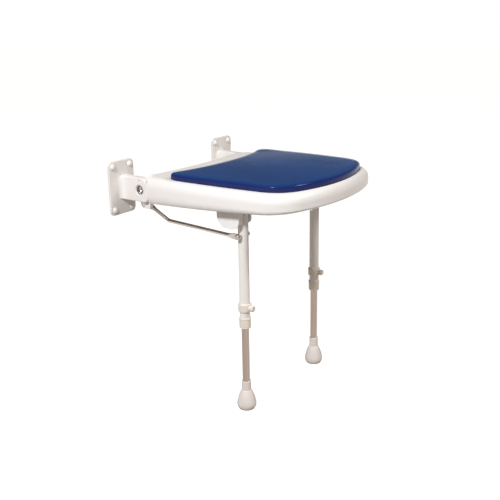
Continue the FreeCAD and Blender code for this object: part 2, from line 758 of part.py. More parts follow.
def upper_tube():
    top = leg_pivot_z + leg_top_rise
    bottom = ferrule_bottom + ferrule_floor
    tube = rod_z(tube_radius, bottom, top, leg_spread, leg_y)
    tube = tube.cut(rod_z(tube_bore, bottom - 1, top + 1, leg_spread, leg_y))
    far = tube_radius + 5
    tube = tube.cut(rod_x(leg_pin_radius + running, leg_spread - far, leg_spread + far, leg_y, leg_pivot_z))
    tube = tube.cut(rod_x(strut_pin_radius + snug, leg_spread - far, leg_spread + far, leg_y, strut_bolt_z))
    screw_z = collar_bottom + collar_height / 2
    screw_start = Vector(leg_spread, leg_y, screw_z)
    screw_end = Vector(leg_spread, leg_y - far, screw_z)
    return tube.cut(rod(clamp_screw_radius + running, screw_start, screw_end))


def tube_plug():
    top = leg_pivot_z + leg_top_rise
    stem = tube_bore - snug
    low = top - plug_depth
    lip = top + plug_lip
    edge = tube_radius - end_chamfer
    points = [(0, low), (stem, low), (stem, top), (tube_radius, top), (edge, lip), (0, lip)]
    return turned_polygon(points, leg_spread, leg_y)


def tube_ferrule():
    """Plastic end of the upper tube with the sleeve that guides the lower tube."""
    z0 = ferrule_bottom
    bore = lower_tube_radius + running
    sleeve = tube_bore - snug
    socket = tube_radius + snug
    top = z0 + ferrule_height
    lip = ferrule_radius + ferrule_lip
    lip_z = top - ferrule_lip_height
    points = [
        (bore, z0),
        (ferrule_radius - end_chamfer, z0),
        (ferrule_radius, z0 + end_chamfer),
        (ferrule_radius, lip_z),
        (lip, lip_z + ferrule_lip),
        (lip, top - ferrule_lip),
        (lip - ferrule_lip, top),
        (socket, top),
        (socket, z0 + ferrule_floor),
        (sleeve, z0 + ferrule_floor),
        (sleeve, z0 + ferrule_sleeve),
        (bore, z0 + ferrule_sleeve),
    ]
    return turned_polygon(points, leg_spread, leg_y)


def clamp_collar():
    z0 = collar_bottom
    z1 = collar_bottom + collar_height
    mid = (z0 + z1) / 2
    middle = Vector(leg_spread, leg_y, mid)
    boss_end = Vector(leg_spread, leg_y - collar_boss_reach, mid)
    ring = rod_z(collar_radius, z0, z1, leg_spread, leg_y)
    ring = ring.makeFillet(collar_round, chosen_edges(ring, lambda edge: edge.BoundBox.ZLength < 0.01))
    collar = joined(ring, rod(collar_boss_radius, middle, boss_end))
    collar = collar.cut(rod_z(tube_radius + snug, z0 - 1, z1 + 1, leg_spread, leg_y))
    return collar.cut(rod(clamp_screw_radius + running, middle, boss_end + Vector(0, -1, 0)))


def clamp_knob():
    """Fluted thumb knob on the screw that bears on the lower tube."""
    mid = collar_bottom + collar_height / 2
    start = leg_y - collar_boss_reach - knob_gap
    end = start - knob_height
    head = rod(knob_radius, Vector(leg_spread, start, mid), Vector(leg_spread, end, mid))
    rim = chosen_edges(head, lambda edge: edge.BoundBox.YMax < end + 0.01)
    head = head.makeFillet(knob_round, rim)
    flute_circle = knob_radius + knob_flute_radius / 3
    for i in range(knob_flutes):
        angle = 2 * math.pi * i / knob_flutes
        x = leg_spread + flute_circle * math.cos(angle)
        z = mid + flute_circle * math.sin(angle)
        head = head.cut(rod(knob_flute_radius, Vector(x, start + 1, z), Vector(x, end - 1, z)))
    tip = leg_y - lower_tube_radius - clamp_tip_gap
    screw = rod(clamp_screw_radius, Vector(leg_spread, tip, mid), Vector(leg_spread, start - 1, mid))
    return joined(head, screw)


def lower_tube():
    bottom = -floor_drop + foot_floor + foot_disc_thickness
    outer = rod_z(lower_tube_radius, bottom, lower_tube_top, leg_spread, leg_y)
    bore = rod_z(lower_tube_radius - lower_tube_wall, bottom - 1, lower_tube_top + 1, leg_spread, leg_y)
    return outer.cut(bore)


def foot():
    """Bell shaped rubber ferrule with a plain sleeve and a ringed sole."""
    floor_z = -floor_drop
    bore = lower_tube_radius + snug
    wide_z = floor_z + foot_bell_rise
    edge = foot_edge_round
    inside_foot = Vector(bore, 0, floor_z + foot_floor)
    inside_top = Vector(bore, 0, foot_sleeve_top)
    rim_start = Vector(foot_sleeve_radius - edge, 0, foot_sleeve_top)
    rim_middle = Vector(foot_sleeve_radius - edge * (1 - bend), 0, foot_sleeve_top - edge * (1 - bend))
    rim_end = Vector(foot_sleeve_radius, 0, foot_sleeve_top - edge)
    neck = Vector(foot_sleeve_radius, 0, foot_shoulder)
    shoulder = Vector(foot_sleeve_radius + edge, 0, foot_shoulder - edge / 2)
    widest = Vector(foot_bell_radius, 0, wide_z)
    sole = Vector(foot_sole_radius, 0, floor_z)
    shoulder_middle = (shoulder + widest) / 2 + Vector(foot_shoulder_swell, 0, 0)
    side_middle = (widest + sole) / 2 + Vector(foot_side_swell / 2, 0, -foot_side_swell / 4)
    floor_middle = Vector(0, 0, floor_z)
    inside_middle = Vector(0, 0, floor_z + foot_floor)
    edges = [
        line(inside_foot, inside_top),
        line(inside_top, rim_start),
        arc(rim_start, rim_middle, rim_end),
        line(rim_end, neck),
        line(neck, shoulder),
        arc(shoulder, shoulder_middle, widest),
        arc(widest, side_middle, sole),
        line(sole, floor_middle),
        line(floor_middle, inside_middle),
        line(inside_middle, inside_foot),
    ]
    body = turned(edges, leg_spread, leg_y)
    groove_top = floor_z + foot_tread_depth
    for radius in foot_tread_radii:
        outer = rod_z(radius, floor_z - 1, groove_top, leg_spread, leg_y)
        inner = rod_z(radius - foot_tread_width, floor_z - 2, groove_top + 1, leg_spread, leg_y)
        body = body.cut(outer.cut(inner))
    return body


def foot_disc():
    z0 = -floor_drop + foot_floor
    return rod_z(lower_tube_radius - snug, z0, z0 + foot_disc_thickness, leg_spread, leg_y)


def four_arc_circle(radius, centre, up):
    """Circle across the strut in four arcs, so that it lofts to the four sides of a flat bar."""
    across = Vector(1, 0, 0)

    def at(degrees):
        angle = math.radians(degrees)
        return centre + across * (radius * math.cos(angle)) + up * (radius * math.sin(angle))

    return Part.Wire([arc(at(45 + 90 * i), at(90 + 90 * i), at(135 + 90 * i)) for i in range(4)])


def strut_end(pin, along):
    """Pressed end of the strut: flat paddle, then the change from flat bar to round tube."""
    up = Vector(1, 0, 0).cross(along)
    half = Vector(paddle_thickness / 2, 0, 0)
    rise = up * paddle_radius
    flat_end = pin + along * paddle_length
    round_start = flat_end + along * paddle_blend
    outline = Part.Wire([
        line(pin + rise, flat_end + rise),
        line(flat_end + rise, flat_end - rise),
        line(flat_end - rise, pin - rise),
        arc(pin - rise, pin - along * paddle_radius, pin + rise),
    ])
    paddle = Part.Face(outline).extrude(half * 2).translated(half * -1)
    corners = [flat_end + half + rise, flat_end - half + rise, flat_end - half - rise, flat_end + half - rise]
    bar = Part.Wire([line(p, q) for p, q in zip(corners, corners[1:] + corners[:1])])
    change = Part.makeLoft([bar, four_arc_circle(strut_radius, round_start, up)], True, False)
    return paddle, change, round_start, up


def strut():
    pin = Vector(strut_plane, hinge_y, strut_pin_z)
    bolt = Vector(strut_plane, leg_y, strut_bolt_z)
    bend = pin + Vector(0, -strut_bend_ahead, -strut_bend_drop)
    first = (bend - pin).normalize()
    second = (bolt - bend).normalize()
    turn = first.getAngle(second)
    setback = strut_bend_radius * math.tan(turn / 2)
    arc_start = bend - first * setback
    arc_end = bend + second * setback
    inward = (second - first).normalize()
    arc_mid = bend + inward * (strut_bend_radius / math.cos(turn / 2) - strut_bend_radius)
    pin_paddle, pin_change, from_pin, up = strut_end(pin, first)
    bolt_paddle, bolt_change, from_bolt, down = strut_end(bolt, second * -1)
    path = Part.Wire([line(from_pin, arc_start), arc(arc_start, arc_mid, arc_end), line(arc_end, from_bolt)])
    round_part = path.makePipeShell([four_arc_circle(strut_radius, from_pin, up)], True, False)
    body = joined(round_part, pin_paddle, pin_change, bolt_paddle, bolt_change)
    hole = strut_pin_radius + running
    start = paddle_inner - 1
    end = paddle_outer + 1
    body = body.cut(rod_x(hole, start, end, hinge_y, strut_pin_z))
    return body.cut(rod_x(hole, start, end, leg_y, strut_bolt_z))


def strut_bolt():
    """Domed bolt through the strut, its spacer and the leg."""
    head_x = paddle_outer + pivot_play
    end = head_x + strut_bolt_head_height
    tail = leg_inner_side - nut_height - strut_bolt_tail
    shank = rod_x(strut_pin_radius, tail, head_x + 1, leg_y, strut_bolt_z)
    head = rod_x(strut_bolt_head, head_x, end, leg_y, strut_bolt_z)
    rim = chosen_edges(head, lambda edge: edge.BoundBox.XMin > end - 0.01)
    return joined(shank, head.makeFillet(strut_bolt_round, rim))


def strut_spacer():
    end = paddle_inner - pivot_play
    return ring_x(strut_bolt_head, strut_pin_radius + snug, leg_outer_side, end, leg_y, strut_bolt_z)


def strut_nut():
    x0 = leg_inner_side - nut_height
    corner_radius = nut_across_flats / math.sqrt(3)
    points = []
    for i in range(6):
        angle = math.pi / 3 * i
        y = leg_y + corner_radius * math.cos(angle)
        z = strut_bolt_z + corner_radius * math.sin(angle)
        points.append(Vector(x0, y, z))
    loop = Part.Wire([line(a, b) for a, b in zip(points, points[1:] + points[:1])])
    nut = Part.Face(loop).extrude(Vector(nut_height, 0, 0))
    return nut.cut(rod_x(strut_pin_radius + snug, x0 - 1, x0 + nut_height + 1, leg_y, strut_bolt_z))


def main():
    os.makedirs("parts", exist_ok=True)
    save_pair("wall_bracket", wall_bracket())
    save_pair("screw_caps", *[screw_cap(x, z) for x, z in plate_holes()])
    save("hinge_tube", hinge_tube())
    save_pair("cross_pin", cross_pin())
    save_pair("strut_pin", strut_pin())
    save_pair("strut_pin_ring", strut_pin_ring())

    save("seat_shell", seat_shell())
    save_pair("hinge_bushes", hinge_bush(barrel_inner_end, -1), hinge_bush(barrel_outer_end, 1))
    save("seat_pad", seat_pad())
    save("pad_screws", *[pad_screw(x, y) for x, y in pad_screw_spots()])
    save_pair("leg_bracket", leg_bracket())
    save_pair("bracket_screws", *[bracket_screw(x, y) for x, y in bracket_screw_spots()])
    save_pair("leg_pin", leg_pin())
    save_pair("leg_spacer", leg_spacer())

    save_pair("upper_tube", upper_tube())
    save_pair("tube_plug", tube_plug())
    save_pair("tube_ferrule", tube_ferrule())
    save_pair("clamp_collar", clamp_collar())
    save_pair("clamp_knob", clamp_knob())
    save_pair("strut_bolt", strut_bolt())
    save_pair("strut_spacer", strut_spacer())
    save_pair("strut_nut", strut_nut())

    save_pair("lower_tube", lower_tube())
    save_pair("foot", foot())
    save_pair("foot_disc", foot_disc())

    save_pair("strut", strut())


main()
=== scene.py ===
import json
import math

import bmesh
import bpy
from mathutils import Matrix, Vector


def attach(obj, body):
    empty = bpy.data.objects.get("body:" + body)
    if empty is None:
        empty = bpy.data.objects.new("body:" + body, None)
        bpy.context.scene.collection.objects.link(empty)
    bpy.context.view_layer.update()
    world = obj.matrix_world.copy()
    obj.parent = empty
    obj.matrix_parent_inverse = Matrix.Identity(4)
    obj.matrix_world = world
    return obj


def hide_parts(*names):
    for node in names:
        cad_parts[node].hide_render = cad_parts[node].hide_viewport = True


# Looks of the fold down wall seat, in metres and in the frame of the CAD model:
# the wall is the plane Y = 0, the seat reaches towards -Y and Z is up.

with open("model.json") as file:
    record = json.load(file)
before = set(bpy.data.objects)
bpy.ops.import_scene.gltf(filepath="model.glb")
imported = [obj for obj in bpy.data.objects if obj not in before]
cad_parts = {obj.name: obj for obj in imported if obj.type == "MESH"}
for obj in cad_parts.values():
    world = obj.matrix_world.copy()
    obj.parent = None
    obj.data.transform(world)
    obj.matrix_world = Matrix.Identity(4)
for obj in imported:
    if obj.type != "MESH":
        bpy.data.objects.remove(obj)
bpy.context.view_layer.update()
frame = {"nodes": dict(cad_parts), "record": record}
nodes = frame["nodes"]


# Camera at the photograph's viewing angle

CAMERA_PLACE = (-1.5930, -1.4143, 0.4369)
CAMERA_TURN = -0.9396066     # radians about Z, from looking along +Y
CAMERA_DIP = 0.3026926       # radians below the horizon
CAMERA_TILT = -0.0190750     # radians about the line of sight
CAMERA_LENS = 56.97          # millimetres, like the sensor
SENSOR_WIDTH = 36.0


def aim_camera():
    side = Vector((math.cos(CAMERA_TURN), math.sin(CAMERA_TURN), 0.0))
    level = math.cos(CAMERA_DIP)
    ahead = Vector((-side.y * level, side.x * level, -math.sin(CAMERA_DIP)))
    up = side.cross(ahead)
    right = math.cos(CAMERA_TILT) * side + math.sin(CAMERA_TILT) * up
    top = math.cos(CAMERA_TILT) * up - math.sin(CAMERA_TILT) * side
    data = bpy.data.cameras.new("camera")
    data.sensor_width = SENSOR_WIDTH
    data.lens = CAMERA_LENS
    camera = bpy.data.objects.new("camera", data)
    bpy.context.scene.collection.objects.link(camera)
    axes = Matrix((right, top, -ahead)).transposed().to_4x4()
    camera.matrix_world = Matrix.Translation(CAMERA_PLACE) @ axes
    bpy.context.scene.camera = camera


aim_camera()


# Materials: lengths in relief are metres, scales are turns of noise per metre

FLOOR_Z = -0.535             # the soles of the feet
GREY_BAND_HEIGHT = 0.012         # of the greyed band above the soles
NOISE_LOW, NOISE_HIGH = 0.3, 0.7      # most of a noise lies between these
EDGE_START, EDGE_FULL = 0.54, 0.66    # pointiness where the painted edge highlight begins and is complete


def rgb(red, green, blue):
    """Linear colour from the eight bit colour that it looks like."""
    def linear(value):
        share = value / 255.0
        if share <= 0.04045:
            return share / 12.92
        return ((share + 0.055) / 1.055) ** 2.4
    return (linear(red), linear(green), linear(blue), 1.0)


class Finish:
    """A material of one shader, with colour, gloss and relief from noise."""

    def __init__(self, name, metallic=0.0, specular=0.5, sheen=0.0):
        self.material = bpy.data.materials.new(name)
        self.material.use_nodes = True
        self.tree = self.material.node_tree
        self.shader = self.tree.nodes["Principled BSDF"]
        self.shader.inputs["Metallic"].default_value = metallic
        self.shader.inputs["Specular IOR Level"].default_value = specular
        self.shader.inputs["Sheen Weight"].default_value = sheen
        source = self.tree.nodes.new("ShaderNodeTexCoord")
        self.place = source.outputs["Object"]
        self.facing = source.outputs["Normal"]
        self.relief = None

    def node(self, kind, **settings):
        made = self.tree.nodes.new(kind)
        for key, value in settings.items():
            setattr(made, key, value)
        return made

    def link(self, start, end):
        self.tree.links.new(start, end)

    def height_of(self, vector):
        """Z share of a vector."""
        split = self.node("ShaderNodeSeparateXYZ")
        self.link(vector, split.inputs["Vector"])
        return split.outputs["Z"]

    def stretched(self, scale):
        mapping = self.node("ShaderNodeMapping")
        mapping.inputs["Scale"].default_value = scale
        self.link(self.place, mapping.inputs["Vector"])
        return mapping.outputs["Vector"]

    def noise(self, scale, detail=2.0, roughness=0.5, stretch=None):
        made = self.node("ShaderNodeTexNoise")
        made.inputs["Scale"].default_value = scale
        made.inputs["Detail"].default_value = detail
        made.inputs["Roughness"].default_value = roughness
        vector = self.stretched(stretch) if stretch else self.place
        self.link(vector, made.inputs["Vector"])
        return made.outputs["Fac"]

    def ramp(self, value, low, high, first, last):
        made = self.node("ShaderNodeMapRange")
        made.inputs["From Min"].default_value = low
        made.inputs["From Max"].default_value = high
        made.inputs["To Min"].default_value = first
        made.inputs["To Max"].default_value = last
        self.link(value, made.inputs["Value"])
        return made.outputs["Result"]

    def mix(self, share, first, second):
        made = self.node("ShaderNodeMix", data_type="RGBA")
        self.link(share, made.inputs["Factor"])
        for value, socket in ((first, made.inputs["A"]), (second, made.inputs["B"])):
            if isinstance(value, bpy.types.NodeSocket):
                self.link(value, socket)
            else:
                socket.default_value = value
        return made.outputs["Result"]

    def mottled(self, noise, first, last, low=NOISE_LOW, high=NOISE_HIGH):
        """Colour that wanders between two tones."""
        return self.mix(self.ramp(noise, low, high, 0.0, 1.0), first, last)

    def edge_highlighted(self, body_colour, highlight_colour):
        """Body colour that goes over into a paler colour on sharp convex edges, a painted edge
        highlight.
        """
        geometry = self.node("ShaderNodeNewGeometry")
        share = self.ramp(geometry.outputs["Pointiness"], EDGE_START, EDGE_FULL, 0.0, 1.0)
        return self.mix(share, body_colour, highlight_colour)

    def colour(self, value):
        self.link(value, self.shader.inputs["Base Color"])

    def gloss(self, noise, smooth, rough):
        wander = self.ramp(noise, NOISE_LOW, NOISE_HIGH, smooth, rough)
        self.link(wander, self.shader.inputs["Roughness"])

    def bump(self, height, strength, distance):
        """Adds relief on top of the relief that is there."""
        made = self.node("ShaderNodeBump")
        made.inputs["Strength"].default_value = strength
        made.inputs["Distance"].default_value = distance
        self.link(height, made.inputs["Height"])
        if self.relief is not None:
            self.link(self.relief, made.inputs["Normal"])
        self.relief = made.outputs["Normal"]
        self.link(self.relief, self.shader.inputs["Normal"])


def coated_metal():
    """Powder coat: a fine orange peel over cast metal, with a painted highlight that makes the
    edges a little paler.
    """
    f = Finish("coated_metal", specular=0.45)
    cloud = f.noise(9.0, 4.0, 0.6)
    tone = f.mottled(cloud, rgb(234, 231, 229), rgb(239, 237, 235), low=0.35, high=0.65)
    # Painted highlight: a paler colour on the sharp edges.
    f.colour(f.edge_highlighted(tone, rgb(244, 243, 241)))
    f.gloss(f.noise(60.0, 3.0, 0.6), 0.34, 0.46)
    f.bump(f.noise(900.0), strength=0.10, distance=0.0002)
    f.bump(f.noise(240.0), strength=0.08, distance=0.0005)
    return f.material


def white_plastic():
    """Satin white moulding with flow marks and a very fine grain."""
    f = Finish("white_plastic", specular=0.45)
    flow = f.noise(3.5, 4.0, 0.55, stretch=(1.0, 1.0, 3.0))
    tone = f.mottled(flow, rgb(239, 238, 237), rgb(243, 242, 241))
    # Painted highlight: a paler colour on the sharp edges.
    f.colour(f.edge_highlighted(tone, rgb(246, 246, 245)))
    f.gloss(f.noise(25.0, 4.0, 0.6), 0.30, 0.40)
    f.bump(f.noise(1400.0), strength=0.06, distance=0.00015)
    f.bump(f.noise(14.0), strength=0.05, distance=0.0015)
    return f.material


def cream_plastic():
    """Slightly yellowed nylon of the collars, knobs and ferrules."""
    f = Finish("cream_plastic", specular=0.4)
    tone = f.mottled(f.noise(22.0, 3.0, 0.55), rgb(229, 221, 210), rgb(236, 229, 220))
    # Painted highlight: a paler colour on the sharp edges.
    f.colour(f.edge_highlighted(tone, rgb(242, 238, 231)))
    f.gloss(f.noise(70.0, 3.0, 0.6), 0.38, 0.50)
    f.bump(f.noise(1100.0), strength=0.07, distance=0.0002)
    return f.material


def coated_tube():
    """White coat on drawn tube, with faint lines along the tube."""
    f = Finish("coated_tube", specular=0.45)
    lines = f.noise(40.0, 3.0, 0.6, stretch=(6.0, 6.0, 0.12))
    tone = f.mottled(lines, rgb(229, 226, 224), rgb(235, 232, 230))
    # Painted highlight: a paler colour on the sharp edges.
    f.colour(f.edge_highlighted(tone, rgb(241, 239, 237)))
    f.gloss(f.noise(50.0, 3.0, 0.6), 0.30, 0.42)
    f.bump(f.noise(700.0), strength=0.07, distance=0.0002)
    f.bump(lines, strength=0.03, distance=0.0003)
    return f.material


def bright_tube():
    """Polished tube with fine draw lines and faint handling marks."""
    f = Finish("bright_tube", metallic=1.0)
    lines = f.noise(60.0, 4.0, 0.7, stretch=(8.0, 8.0, 0.06))
    f.colour(f.mottled(lines, rgb(140, 125, 115), rgb(172, 158, 148)))
    f.gloss(f.noise(30.0, 4.0, 0.65, stretch=(2.0, 2.0, 0.4)), 0.12, 0.24)
    f.bump(lines, strength=0.05, distance=0.0002)
    return f.material


def bright_strut():
    """Polished strut with its draw lines lengthwise."""
    f = Finish("bright_strut", metallic=1.0)
    lines = f.noise(70.0, 4.0, 0.7, stretch=(6.0, 0.1, 6.0))
    f.colour(f.mottled(lines, rgb(176, 166, 158), rgb(204, 195, 188)))
    f.gloss(f.noise(45.0, 4.0, 0.6), 0.22, 0.34)
    f.bump(lines, strength=0.06, distance=0.0002)
    return f.material


def turned_steel():
    """Stainless steel as it comes from the lathe, with a painted highlight that makes its edges
    paler.
    """
    f = Finish("turned_steel", metallic=1.0)
    tone = f.mottled(f.noise(140.0, 3.0, 0.6), rgb(160, 155, 151), rgb(174, 170, 166))
    # Painted highlight: a paler colour on the sharp edges.
    f.colour(f.edge_highlighted(tone, rgb(208, 205, 202)))
    f.gloss(f.noise(220.0, 3.0, 0.6), 0.28, 0.34)
    f.bump(f.noise(1800.0), strength=0.02, distance=0.00005)
    return f.material


def nylon():
    """Off white bearing nylon, waxy and even."""
    f = Finish("nylon", specular=0.35)
    f.colour(f.mottled(f.noise(60.0, 3.0), rgb(214, 209, 198), rgb(224, 220, 210)))
    f.gloss(f.noise(200.0), 0.42, 0.55)
    f.bump(f.noise(1300.0), strength=0.06, distance=0.0002)
    return f.material


def white_rubber():
    """Matt rubber of the feet, a little grey where it meets the floor."""
    f = Finish("white_rubber", specular=0.3, sheen=0.05)
    tone = f.mottled(f.noise(35.0, 4.0, 0.6), rgb(228, 221, 218), rgb(235, 229, 226))
    # Greyer towards the soles, in a band just above floor level.
    grey_band_share = f.ramp(f.height_of(f.place), FLOOR_Z, FLOOR_Z + GREY_BAND_HEIGHT, 0.5, 0.0)
    f.colour(f.mix(grey_band_share, tone, rgb(190, 182, 176)))
    f.gloss(f.noise(120.0, 3.0, 0.6), 0.50, 0.66)
    f.bump(f.noise(1000.0, 3.0, 0.6), strength=0.12, distance=0.0003)
    return f.material


def pad_skin():
    """Glossy skin of a moulded foam pad: deep blue, with a painted greener reflection on its flat
    top.
    """
    f = Finish("pad_skin", specular=0.12, sheen=0.15)
    f.shader.inputs["Sheen Roughness"].default_value = 0.35
    f.shader.inputs["Sheen Tint"].default_value = (0.12, 0.45, 1.0, 1.0)
    # The cloud's slow drift in tone paints in patches of reflected window light.
    cloud = f.noise(5.0, 4.0, 0.55)
    top = f.mottled(cloud, rgb(20, 56, 116), rgb(24, 68, 130))
    wall = f.mottled(cloud, rgb(30, 40, 96), rgb(36, 48, 106))
    # Painted reflection: faces that point up take the greener top colour.
    painted_reflection_share = f.ramp(f.height_of(f.facing), 0.45, 0.97, 0.0, 1.0)
    f.colour(f.mix(painted_reflection_share, wall, top))
    f.gloss(f.noise(12.0, 4.0, 0.6), 0.09, 0.16)
    f.bump(f.noise(1600.0), strength=0.08, distance=0.00015)
    f.bump(f.noise(7.0), strength=0.10, distance=0.003)
    return f.material


finishes = {
    "coated_metal": coated_metal(),
    "white_plastic": white_plastic(),
    "cream_plastic": cream_plastic(),
    "coated_tube": coated_tube(),
    "bright_tube": bright_tube(),
    "bright_strut": bright_strut(),
    "steel": turned_steel(),
    "nylon": nylon(),
    "white_rubber": white_rubber(),
    "pad_skin": pad_skin(),
}

CREAM = ("tube_ferrule", "clamp_collar", "clamp_knob")


def dress_nodes():
    """Gives each CAD node the finish of its slot, and the cream pieces theirs."""
    slots = {part["node"]: part["material_slot"] for part in frame["record"]["subparts"]}
    for name, node in nodes.items():
        cream = name.rsplit("_", 1)[0] in CREAM
        node.data.materials.clear()
        node.data.materials.append(finishes["cream_plastic" if cream else slots[name]])


dress_nodes()


# Meshes made of rings

def bridge(mesh, first, second):
    """Quads between two rings of the same number of vertices."""
    count = len(first)
    for i in range(count):
        j = (i + 1) % count
        mesh.faces.new((first[i], first[j], second[j], second[i]))


def linked(name, mesh, material):
    """Object made of a closed mesh, smooth apart from its many sided end faces."""
    bmesh.ops.recalc_face_normals(mesh, faces=mesh.faces)
    data = bpy.data.meshes.new(name)
    mesh.to_mesh(data)
    mesh.free()
    for polygon in data.polygons:
        polygon.use_smooth = len(polygon.vertices) <= 4
    data.materials.append(material)
    made = bpy.data.objects.new(name, data)
    bpy.context.scene.collection.objects.link(made)
    return made


# The seat pad: a closed form with a crowned top, rounded shoulders and a tucked lower edge

PAD_HALF_REAR = 0.200        # half widths
PAD_HALF_MIDDLE = 0.1985
PAD_HALF_FRONT = 0.187
PAD_REAR_MIDDLE = 0.184      # distances from the wall
PAD_REAR_END = 0.141
PAD_FRONT_MIDDLE = 0.518
PAD_FRONT_END = 0.468
PAD_REAR_CORNER = 0.030      # radii in plan
PAD_FRONT_CORNER = 0.082
PAD_BASE = 0.0335            # Z of the underside
PAD_HEIGHT = 0.0175
PAD_CROWN = 0.0025           # the middle stands this much above the rim of the top
CROWN_END = 1.15             # the crown levels out beyond this share of the half width
PAD_SHOULDER = 0.007         # radius of the top edge
SHOULDER_DEGREES = (0, 18, 36, 54, 72, 86)
TOP_START = 1.05             # the top's rings start this many shoulder radii inside
TOP_SHARES = (0.93, 0.84, 0.72, 0.58, 0.42, 0.26, 0.12)

# The tucked lower edge: height above the base and push outwards
LOWER_EDGE = (
    (0.0, -0.0026), (0.0004, -0.0012), (0.0012, -0.0004), (0.0026, 0.0), (0.0060, 0.0003),
)

SIDE_STEPS = 60
CORNER_STEPS = 12
CORNER_CLEARANCE = 1.02      # points this close to a corner arc's ends are dropped
OUTLINE_POINTS = 240


def circle_centre(a, b, c):
    """Centre of the circle through three points in the plane."""
    d = 2 * (a.x * (b.y - c.y) + b.x * (c.y - a.y) + c.x * (a.y - b.y))
    aa, bb, cc = a.length_squared, b.length_squared, c.length_squared
    x = (aa * (b.y - c.y) + bb * (c.y - a.y) + cc * (a.y - b.y)) / d
    y = (aa * (c.x - b.x) + bb * (a.x - c.x) + cc * (b.x - a.x)) / d
    return Vector((x, y))


def arc_points(a, b, c):
    """Points from a over b to c, without the last one."""
    centre = circle_centre(a, b, c)
    start, middle, end = (math.atan2(p.y - centre.y, p.x - centre.x) for p in (a, b, c))
    while middle < start:
        middle += 2 * math.pi
    while end < start:
        end += 2 * math.pi
    if middle > end:
        end -= 2 * math.pi
    radius = (a - centre).length
    angles = [start + (end - start) * i / SIDE_STEPS for i in range(SIDE_STEPS)]
    return [centre + radius * Vector((math.cos(t), math.sin(t))) for t in angles]


def along(points, index, distance):
    """Point at a distance along a closed outline from one of its points."""
    step = 1 if distance > 0 else -1
    left = abs(distance)
    here = points[index]
    while True:
        index = (index + step) % len(points)
        gap = (points[index] - here).length
        if gap >= left:
            return here.lerp(points[index], left / gap)
        left -= gap
        here = points[index]


def corner_arc(points, corner, reach):
    """Curve that leaves the outline before a corner and meets it again behind."""
    tip = points[corner]
    start = along(points, corner, -reach)
    end = along(points, corner, reach)
    shares = [j / CORNER_STEPS for j in range(CORNER_STEPS + 1)]
    return [(1 - t) ** 2 * start + 2 * t * (1 - t) * tip + t ** 2 * end for t in shares]


def rounded(points, radii):
    """Outline with each corner, given by its index, rounded by its radius."""
    total = len(points)
    reaches = {}
    for corner, radius in radii.items():
        before = points[corner] - points[(corner - 3) % total]
        after = points[(corner + 3) % total] - points[corner]
        reaches[corner] = radius * math.tan(before.angle(after) / 2)
    result = []
    for i, point in enumerate(points):
        if i in reaches:
            result += corner_arc(points, i, reaches[i])
        elif all((point - points[corner]).length >= reach * CORNER_CLEARANCE
                 for corner, reach in reaches.items()):
            result.append(point)
    return result


def resampled(points, count):
    """Evenly spaced points on a closed outline."""
    ends = points[1:] + points[:1]
    lengths = [(end - start).length for start, end in zip(points, ends)]
    total = sum(lengths)
    result = []
    i = 0
    passed = 0.0
    for k in range(count):
        target = total * k / count
        while passed + lengths[i] < target:
            passed += lengths[i]
            i += 1
        result.append(points[i].lerp(ends[i], (target - passed) / lengths[i]))
    return result


def pad_outline():
    """Plan of the pad, clockwise as seen from above."""
    rear_left = Vector((-PAD_HALF_REAR, -PAD_REAR_END))
    rear_right = Vector((PAD_HALF_REAR, -PAD_REAR_END))
    front_right = Vector((PAD_HALF_FRONT, -PAD_FRONT_END))
    front_left = Vector((-PAD_HALF_FRONT, -PAD_FRONT_END))
    middle = -(PAD_REAR_END + PAD_FRONT_END) / 2
    points = arc_points(rear_left, Vector((0, -PAD_REAR_MIDDLE)), rear_right)
    points += arc_points(rear_right, Vector((PAD_HALF_MIDDLE, middle)), front_right)
    points += arc_points(front_right, Vector((0, -PAD_FRONT_MIDDLE)), front_left)
    points += arc_points(front_left, Vector((-PAD_HALF_MIDDLE, middle)), rear_left)
    corners = (PAD_REAR_CORNER, PAD_REAR_CORNER, PAD_FRONT_CORNER, PAD_FRONT_CORNER)
    radii = {k * SIDE_STEPS: radius for k, radius in enumerate(corners)}
    return resampled(rounded(points, radii), OUTLINE_POINTS)


def outward(points):
    """Unit normals of a clockwise closed outline."""
    result = []
    for i in range(len(points)):
        way = points[(i + 1) % len(points)] - points[i - 1]
        result.append(Vector((-way.y, way.x)).normalized())
    return result


def seat_pad():
    base = pad_outline()
    normals = outward(base)
    centre = Vector((0.0, -(PAD_REAR_MIDDLE + PAD_FRONT_MIDDLE) / 2))

    def crown(point):
        away = min((point - centre).length / PAD_HALF_MIDDLE, CROWN_END)
        return PAD_CROWN * (1 - away ** 2)

    profile = list(LOWER_EDGE)
    for degrees in SHOULDER_DEGREES:
        angle = math.radians(degrees)
        height = PAD_HEIGHT - PAD_SHOULDER * (1 - math.sin(angle))
        profile.append((height, -PAD_SHOULDER * (1 - math.cos(angle))))

    mesh = bmesh.new()
    rings = []
    for height, push in profile:
        ring = []
        for point, normal in zip(base, normals):
            place = point + normal * push
            lift = crown(place) * height / PAD_HEIGHT
            ring.append(mesh.verts.new((place.x, place.y, PAD_BASE + height + lift)))
        rings.append(ring)
    rim = [point - normal * PAD_SHOULDER * TOP_START for point, normal in zip(base, normals)]
    for share in TOP_SHARES:
        ring = []
        for point in rim:
            place = centre.lerp(point, share)
            ring.append(mesh.verts.new((place.x, place.y, PAD_BASE + PAD_HEIGHT + crown(place))))
        rings.append(ring)
    for lower, upper in zip(rings, rings[1:]):
        bridge(mesh, lower, upper)
    top = mesh.verts.new((centre.x, centre.y, PAD_BASE + PAD_HEIGHT + PAD_CROWN))
    bottom = mesh.verts.new((centre.x, centre.y, PAD_BASE))
    for i in range(OUTLINE_POINTS):
        j = (i + 1) % OUTLINE_POINTS
        mesh.faces.new((rings[-1][i], rings[-1][j], top))
        mesh.faces.new((rings[0][j], rings[0][i], bottom))
    return linked("blue_pad", mesh, finishes["pad_skin"])


